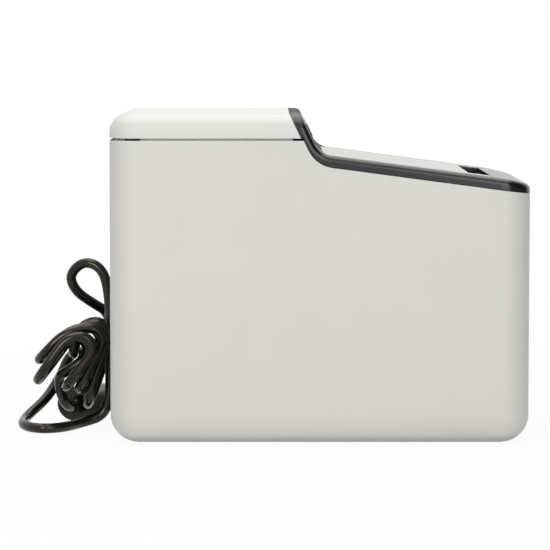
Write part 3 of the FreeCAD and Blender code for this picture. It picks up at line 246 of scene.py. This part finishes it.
world = bpy.data.worlds.new("white_room")
world.use_nodes = True
bpy.context.scene.world = world
background = world.node_tree.nodes["Background"]
background.inputs["Color"].default_value = (1, 1, 1, 1)
level = world.node_tree.nodes.new("ShaderNodeMapRange")
level.inputs["To Min"].default_value = AMBIENT
world.node_tree.links.new(seen_rays(world.node_tree), level.inputs["Value"])
world.node_tree.links.new(level.outputs[0], background.inputs["Strength"])
print(f"room lit at {AMBIENT}")

# %% [markdown]
# Soft studio light: two panels beside the camera for the side, and a wide one over the top for the lid and the
# slope. Because they stand off to the sides, the flat trim doesn't mirror them, but the round cord draws each
# into a thin highlight.

# %% Studio light
PANELS = {
    "rear_light": ((-1.65, 0.75, 0.6), (0, 0, 0.12), 0.5, 9.8),
    "front_light": ((-1.65, -0.75, 0.6), (0, 0, 0.12), 1.2, 11.4),
    "top_light": ((0.17, 0.05, 1.6), (0, 0, 0.1), 1.9, 28),
}
for name, (spot, aim, wide, watts) in PANELS.items():
    lamp = bpy.data.lights.new(name, "AREA")
    lamp.size = wide
    lamp.energy = watts
    holder = bpy.data.objects.new(name, lamp)
    bpy.context.scene.collection.objects.link(holder)
    holder.location = spot
    holder.rotation_mode = "QUATERNION"
    holder.rotation_quaternion = (Vector(aim) - Vector(spot)).to_track_quat("-Z", "Y")
bpy.context.scene.view_settings.view_transform = "Standard"
print(f"{len(PANELS)} lamps")

# %% [markdown]
# Black gloss only looks black where it mirrors something dark. A dark card stands in front of the printer, for
# the corner of the trim. The camera doesn't see it.

# %% Dark card
CARD_BACK = -0.9
CARD_CORNERS = ((-1.2, 0.02), (0.5, 0.02), (0.5, 1.2), (-1.2, 1.2))

card_bm = bmesh.new()
card_bm.faces.new([card_bm.verts.new((across, CARD_BACK, up)) for across, up in CARD_CORNERS])
card_mesh = bpy.data.meshes.new("dark_card")
card_bm.to_mesh(card_mesh)
card_bm.free()
card_mesh.materials.append(Finish("black_felt", roughness=1.0, base_color=(0.02, 0.02, 0.02, 1)).material)
dark_card = bpy.data.objects.new("dark_card", card_mesh)
bpy.context.scene.collection.objects.link(dark_card)
dark_card.visible_camera = False
print(f"dark card {-CARD_BACK} m in front")

# %% [markdown]
# The mains cord runs from its connector over the table, up the back wall in a standing loop, three times round
# the hank and out to the plug. The lead and the tail are a few points each, in millimetres, that a smooth curve
# rounds off: straight out of the connector, down to the table, along it and up again.

# %% Lead and tail
MM = 0.001
CORD_RADIUS = 2.7
EXIT = Vector((36, 126, 38))
PLUG_END = Vector((19, 133.2, 9.8))
PLUG_WAY = Vector((math.cos(math.radians(15)), -math.sin(math.radians(15)), 0))
LEAD = [(36, 131.5, 38), (35, 136.5, 35), (31, 140, 26), (23, 147.5, 13.5), (11, 158.5, 4.5),
        (-9, 158.5, 2.9), (-22, 147, 2.8), (-15.5, 135.5, 2.8), (-1, 127.5, 3.2), (1.5, 114.5, 7),
        (1.2, 111.5, 21), (0.2, 111.9, 37), (1.2, 111.5, 54), (1.2, 112.1, 72), (1.5, 115.2, 86),
        (4, 125.2, 90.6), (7.6, 134, 82.6), (10.3, 130.8, 73.4), (13.3, 121.6, 66.6)]
TAIL = [(0, 139.5, 28.5), (6, 138.8, 18.5)]
print(f"lead of {len(LEAD)} points, tail of {len(TAIL)}")

# %% [markdown]
# A tied hank is a coil that was pressed flat and bent over. Points placed by hand would never keep clear of each
# other, so a formula makes them: each turn is a flat racetrack, the next one lies a step further across, and the
# whole is bent over into an arch whose ends fan out, so that no two turns are alike. It is the formula that the
# CAD solid follows too.

# %% Hank
HANK_WIDE = 10.6
HANK_STEP = 6.5
HANK_TURNS = (3.782, 0.67)
POINTS_PER_TURN = 44


def racetrack(turn, run, wide):
    """How far along and across a flat racetrack some turns lead, from the middle of its left end."""
    bend_long = math.pi * wide
    way = (turn % 1) * 2 * (run + bend_long) - bend_long / 2
    if way < 0:
        return -run / 2 - wide * math.sin(-way / wide), -wide * math.cos(way / wide)
    if way < run:
        return way - run / 2, -wide
    way -= run
    if way < bend_long:
        return run / 2 + wide * math.sin(way / wide), -wide * math.cos(way / wide)
    way -= bend_long
    if way < run:
        return run / 2 - way, wide
    way -= run
    return -run / 2 - wide * math.sin(way / wide), wide * math.cos(way / wide)


def hank_point(turn):
    """The middle of the cord after some turns, each a racetrack bent over into an arch and fanned out."""
    arch, end, low = turn - 1.25, turn - 1, turn - 1.5
    tuck = min(max(2 * turn - 4.5, 0), 1)
    tuck = tuck**2 * (3 - 2 * tuck)
    left = (32.6 + 0.4 * end) * (1 - tuck) + 23.2 * tuck
    right = 38.8 + 3.5 * low + 2.3 * low * (low - 1)
    along, across = racetrack(turn, left + right - 2 * HANK_WIDE, HANK_WIDE)
    along += (right - left) / 2
    if along < 0:
        side, radius = 1, (9.5 + 14.5 * end) * (1 - tuck) + 11.1 * tuck
        bent = lean = math.radians((54 - 8 * end) * (1 - tuck) + 84 * tuck)
    else:
        side, radius = -1, 6.6 + 0.15 * arch
        lean = math.radians(36.5 + 10 * turn - 28 * max(0, 1 - turn))
        bent = math.pi - lean
    angle = min(abs(along) / radius, bent)
    straight = abs(along) - radius * angle
    bow = 1.15 * arch * (arch - 1)
    back = 126.3 - 4.8 * arch + bow + side * radius * math.sin(angle) + straight * math.cos(lean)
    up = 52.1 + 3.7 * arch - bow - radius * (1 - math.cos(angle)) - straight * math.sin(lean)
    return Vector((across - 18 + HANK_STEP * turn, back, up))


def hank_way(turn):
    """Which way the cord runs there, from the connector towards the plug."""
    return (hank_point(turn - 0.002) - hank_point(turn + 0.002)).normalized()


print(f"hank from {hank_point(HANK_TURNS[0])} to {hank_point(HANK_TURNS[1])} mm")

# %% [markdown]
# The hank's two ends run on straight for two radii before the lead and the tail take over, so that the curve has
# no kink there. Then all points are strung together, from the connector to the plug.

# %% Whole route
first_turn, last_turn = HANK_TURNS
hank_start = hank_point(first_turn) - hank_way(first_turn) * 2 * CORD_RADIUS
hank_end = hank_point(last_turn) + hank_way(last_turn) * 2 * CORD_RADIUS
count = round((first_turn - last_turn) * POINTS_PER_TURN)
turns = [first_turn + (last_turn - first_turn) * i / count for i in range(count + 1)]
route = [EXIT, *map(Vector, LEAD), hank_start - hank_way(first_turn) * 5]
route += [hank_point(turn) for turn in turns]
route += [hank_end + hank_way(last_turn) * 4, *map(Vector, TAIL), PLUG_END - PLUG_WAY * 8, PLUG_END]
print(f"cord route: {len(route)} points, {count} of them in the hank")

# %% [markdown]
# A curve with a round bevel makes the cord, because a curve can still be laid another way later on, which a mesh
# can't. A NURBS spline of order 3 stays close to its control points without overshooting between them, and the
# endpoint setting makes it start in the connector and end in the plug. The cord replaces the three rigid solids
# that stand for it.


# %% Cord curve
def smooth_cord(name, points, radius):
    """A round cord along a NURBS spline with these control points, in millimetres."""
    data = bpy.data.curves.new(name, "CURVE")
    data.dimensions = "3D"
    data.bevel_depth = 1
    data.bevel_resolution = 5
    data.resolution_u = 6
    data.use_fill_caps = True
    spline = data.splines.new("NURBS")
    spline.points.add(len(points) - 1)
    for control, point in zip(spline.points, points):
        control.co = (*(Vector(point) * MM), 1)
        control.radius = radius * MM
    spline.order_u = 3
    spline.use_endpoint_u = True
    thing = bpy.data.objects.new(name, data)
    bpy.context.scene.collection.objects.link(thing)
    return thing


mains_cord = smooth_cord("mains_cord", route, CORD_RADIUS)
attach(mains_cord, "base")
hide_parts("cord_lead", "cord_hank", "cord_tail")
print(f"cord {2 * CORD_RADIUS} mm thick on {len(route)} control points")

# %% [markdown]
# The housing is light grey ABS out of a spark-eroded mould. Its grain is far too fine to model, so it is a bump
# of a few hundredths of a millimetre, and slow clouds keep the large flat side from looking painted on. The same
# recipe with other numbers gives every moulded piece, so it is a function.


# %% Moulded plastics
def moulded(name, colour, roughness, grain=0.4, relief=0.01, clouds=0.03, **numbers):
    """A moulded plastic: fine grain, slow clouds in the colour and a faint wiped look in the gloss."""
    skin = Finish(name, **numbers)
    cloud = skin.noise(35, 3)
    speck = skin.noise(grain * 2.5, 2)
    dark = [part * (1 - clouds) for part in colour]
    light = [min(1, part * (1 + clouds)) for part in colour]
    skin.set("Base Color", skin.mix(cloud * 0.7 + speck * 0.3, dark, light))
    skin.set("Roughness", skin.noise(9, 3, (1, 1, 3)) * 0.12 + speck * 0.06 + (roughness - 0.09))
    skin.bump(skin.noise(grain, 2), relief)
    return skin


HOUSING_GREY = (0.685, 0.675, 0.635)
# The lid's grey is the housing's grey made about 5 % lighter: painted light, for the extra light that the lid
# catches from above.
LID_GREY_LIT = (0.72, 0.715, 0.675)
moulded("housing_plastic", HOUSING_GREY, 0.48, specular_ior_level=0.4).paint("body_shell", "base_plate")
moulded("lid_plastic_lit", LID_GREY_LIT, 0.4, specular_ior_level=0.4).paint("lid_shell")
moulded("riser_plastic", (0.02, 0.02, 0.021), 0.16, grain=3, relief=0.004, clouds=0.15).paint("riser_panel")
moulded("key_plastic", (0.1, 0.1, 0.105), 0.4, grain=0.3).paint("power_button", "feed_button")
moulded("liner_plastic", (0.05, 0.05, 0.053), 0.55, grain=0.6, relief=0.03, clouds=0.15).paint(
    "cover_liner", "inner_chassis", "exit_guide")
moulded("bush_plastic", (0.13, 0.135, 0.15), 0.42, clouds=0.08).paint(
    "platen_bushes", "spool_spindle", "spool_flanges")
moulded("gear_plastic", (0.72, 0.70, 0.63), 0.36, grain=0.8, clouds=0.05).paint(
    "platen_gear", "idler_gear", "motor_pinion")
moulded("inlet_plastic", (0.014, 0.014, 0.014), 0.45, grain=0.3, relief=0.02, clouds=0.2).paint("power_inlet")
moulded("chip_plastic", (0.03, 0.03, 0.032), 0.5, grain=0.3, relief=0.015, clouds=0.3).paint(
    "board_components", "gap_sensor")
moulded("foot_rubber", (0.03, 0.03, 0.03), 0.78, grain=0.5, relief=0.05, clouds=0.25).paint("rubber_feet")

# %% [markdown]
# Two plastics need a mask as well. The trim is glossy outside, but the recess for the riser and its top edge are
# matt, or they would mirror the white room as a pale rim. A mask on the place across and front to back tells them
# apart. The light panel of the slope is light only in a thin top layer: below it the colour is near black, partly
# the dark plastic round the slot and partly painted shade, so that the slot looks dark. The depth below the
# sloped plane is the mask for that.

# %% Trim and panel
TRIM_INSIDE = (0.0575, 0.0585)
TRIM_BACK = (-0.004, 0.0)
SLOPE, SLOPE_TOP = 0.1323, 0.15007
SLOT_SHADE_DEPTH = (0.0003, 0.0005)

trim = moulded("trim_plastic", (0.008, 0.008, 0.0075), 0.22, grain=0.5, relief=0.003, clouds=0.2)
across, back, up = trim.axes()
recess = (1 - across.math("ABSOLUTE", across).between(*TRIM_INSIDE)) * back.between(*TRIM_BACK)
trim.set("Roughness", recess * 0.5 + trim.noise(9, 3, (1, 1, 3)) * 0.1 + 0.16)
trim.paint("trim_frame")

panel = moulded("panel_plastic", (0.55, 0.535, 0.495), 0.34, grain=0.5)
across, back, up = panel.axes()
# painted shade, partly dark plastic: the panel's cut edges below the top 0.3 mm are near black, so the slot looks
# dark
slot_dark_and_shade = (back * SLOPE + SLOPE_TOP - up).between(*SLOT_SHADE_DEPTH)
skin_colour = panel.shader.inputs["Base Color"].links[0].from_socket
panel.set("Base Color", panel.mix(slot_dark_and_shade, skin_colour, (0.006, 0.006, 0.006)))
panel.paint("front_panel")

# %% [markdown]
# Steel shows how it was made: drawn pins and pressed plates carry fine lines, and zinc leaves a cloudy bloom.
# A noise that is stretched a hundred times along one axis gives the lines, in the gloss as well as the relief.


# %% Metals
def drawn_metal(name, colour, roughness, along=(100, 1, 1), bloom=0.06):
    """Metal with fine lines along one axis and a slow bloom."""
    skin = Finish(name, metallic=1.0)
    lines = skin.noise(0.35, 3, along)
    cloud = skin.noise(6, 3)
    dark = [part * (1 - 2 * bloom) for part in colour]
    skin.set("Base Color", skin.mix(cloud * 0.6 + lines * 0.4, dark, colour))
    skin.set("Roughness", lines * 0.16 + cloud * 0.1 + (roughness - 0.13))
    skin.bump(lines, 0.012)
    return skin


drawn_metal("bright_steel", (0.62, 0.62, 0.63), 0.24).paint(
    "base_screws", "cover_screws", "hinge_pins", "head_pivot", "platen_shaft", "motor_shaft", "idler_stud",
    "head_springs", "hinge_bracket")
drawn_metal("blackened_steel", (0.05, 0.05, 0.053), 0.42, (200, 1, 1), 0.2).paint("tear_bar")
drawn_metal("zinc_plate", (0.58, 0.59, 0.61), 0.36, (1, 20, 20), 0.14).paint(
    "mechanism_frame", "head_hanger", "usb_socket", "stepper_motor")
drawn_metal("extruded_aluminium", (0.75, 0.76, 0.77), 0.33, (200, 1, 1)).paint("heat_sink")
drawn_metal("turned_brass", (0.75, 0.58, 0.28), 0.27, (1, 1, 40)).paint("board_standoffs")
drawn_metal("plated_contact", (0.80, 0.74, 0.58), 0.2, (60, 60, 1)).paint("inlet_contacts", "plug_pins")

# %% [markdown]
# The boards are green solder resist over copper. A brick pattern gives the grid of traces, a Voronoi cell
# gives the round pads, and the pads turn metallic where the resist is left open.

# %% Boards
board = Finish("green_board")
tracks = board.node("ShaderNodeTexBrick", None, {"Vector": board.place, "Scale": 260.0, "Mortar Size": 0.06,
                                                 "Color1": (0, 0, 0, 1), "Color2": (0, 0, 0, 1),
                                                 "Mortar": (1, 1, 1, 1)})
pads = board.node("ShaderNodeTexVoronoi", {"feature": "F1"}, {"Vector": board.place, "Scale": 220.0})
track = Wire(board, tracks.outputs["Fac"])
pad = 1 - Wire(board, pads.outputs["Distance"]).between(0.16, 0.2)
resist = board.mix(track, (0.012, 0.085, 0.03), (0.03, 0.16, 0.06))
board.set("Base Color", board.mix(pad, resist, (0.7, 0.55, 0.25)))
board.set("Metallic", pad * 0.9)
board.set("Roughness", board.noise(4, 3) * 0.15 + 0.25)
board.bump(track * 0.6 + pad * 0.4, 0.03)
board.paint("main_board", "button_board")

# %% [markdown]
# The label roll is paper wound on a board core. On its ends the layers show as fine rings, so the height over
# the roll's axis drives a one-way noise. Round the outside, a gap of bare liner shows between two labels.

# %% Paper and core
ROLL_AXIS = (0.052, 0.101)
LABELS_ROUND = 4


def roll_rings(skin, millimetres):
    """Fine rings round the roll's axis, and the angle round it from 0 to 1."""
    across, back, up = skin.axes()
    back, up = back - ROLL_AXIS[0], up - ROLL_AXIS[1]
    radius = (back * back + up * up) ** 0.5
    ring = skin.node("ShaderNodeTexNoise", {"noise_dimensions": "1D"},
                     {"W": radius, "Scale": 1000 / millimetres, "Detail": 4.0})
    angle = up.math("ARCTAN2", up, back) * (1 / (2 * math.pi)) + 0.5
    return Wire(skin, ring.outputs["Fac"]), angle


paper = Finish("label_paper")
rings, angle = roll_rings(paper, 0.5)
label = angle * LABELS_ROUND
label = label.math("FRACT", label)
gap = 1 - label.between(0.0, 0.012) * (1 - label.between(0.955, 0.967))
fibre = paper.noise(0.6, 4)
sheet = paper.mix(rings * 0.6 + fibre * 0.4, (0.80, 0.79, 0.76), (0.90, 0.90, 0.89))
paper.set("Base Color", paper.mix(gap, sheet, (0.72, 0.66, 0.52)))
paper.set("Roughness", 0.62 - gap * 0.2 + fibre * 0.1)
paper.bump(rings * 0.7 - gap * 0.3 + fibre * 0.1, 0.05)
paper.paint("label_roll")

core = Finish("board_core", roughness=0.85)
core_rings, _ = roll_rings(core, 0.8)
fibre = core.noise(0.8, 4)
core.set("Base Color", core.mix(core_rings * 0.7 + fibre * 0.3, (0.32, 0.22, 0.12), (0.52, 0.40, 0.26)))
core.bump(core_rings, 0.06)
core.paint("roll_core")

# %% [markdown]
# The platen is ground rubber, the head a glazed ceramic strip, and the lens a ribbed green light pipe. Each
# needs only a few nodes of its own.

# %% Platen, head and lens
platen = moulded("platen_rubber", (0.035, 0.035, 0.037), 0.6, grain=0.25, relief=0.02, clouds=0.2)
platen.paint("platen_rubber")

glaze = Finish("head_glaze", coat_weight=0.6, coat_roughness=0.08)
across, back, up = glaze.axes()
comb = (across * 4000).math("SINE", across * 4000).between(-0.2, 0.2)
shade = comb * 0.5 + glaze.noise(2, 2) * 0.3
glaze.set("Base Color", glaze.mix(shade, (0.30, 0.26, 0.20), (0.46, 0.40, 0.30)))
glaze.set("Roughness", comb * 0.15 + 0.2)
glaze.paint("print_head")

lens = Finish("green_lens", coat_weight=0.5, transmission_weight=0.35, ior=1.49)
across, back, up = lens.axes()
ribs = (across * 9000).math("SINE", across * 9000) * 0.5 + 0.5
lens.set("Base Color", lens.mix(ribs * 0.5 + lens.noise(1, 2) * 0.3, (0.10, 0.42, 0.12), (0.30, 0.75, 0.30)))
lens.set("Roughness", ribs * 0.1 + 0.12)
lens.bump(ribs, 0.06)
lens.paint("status_lens")

# %% [markdown]
# The cord, its connector and plug are one soft black PVC. It is glossy, with a faint warm tint in its sheen, and
# small dull patches where it was handled break up the highlights along it.

# %% Black PVC
pvc = Finish("black_pvc", specular_ior_level=0.36, specular_tint=(1.0, 0.93, 0.8, 1))
wiped = pvc.noise(7, 4)
pvc.set("Base Color", pvc.mix(wiped, (0.004, 0.0036, 0.003), (0.008, 0.0074, 0.006)))
pvc.set("Roughness", wiped.between(0.35, 0.75) * 0.1 + 0.14)
pvc.bump(pvc.noise(1.2, 3), 0.005)
pvc.paint("cord_connector", "mains_plug", "cord_lead", "cord_hank", "cord_tail")
mains_cord.data.materials.append(pvc.material)
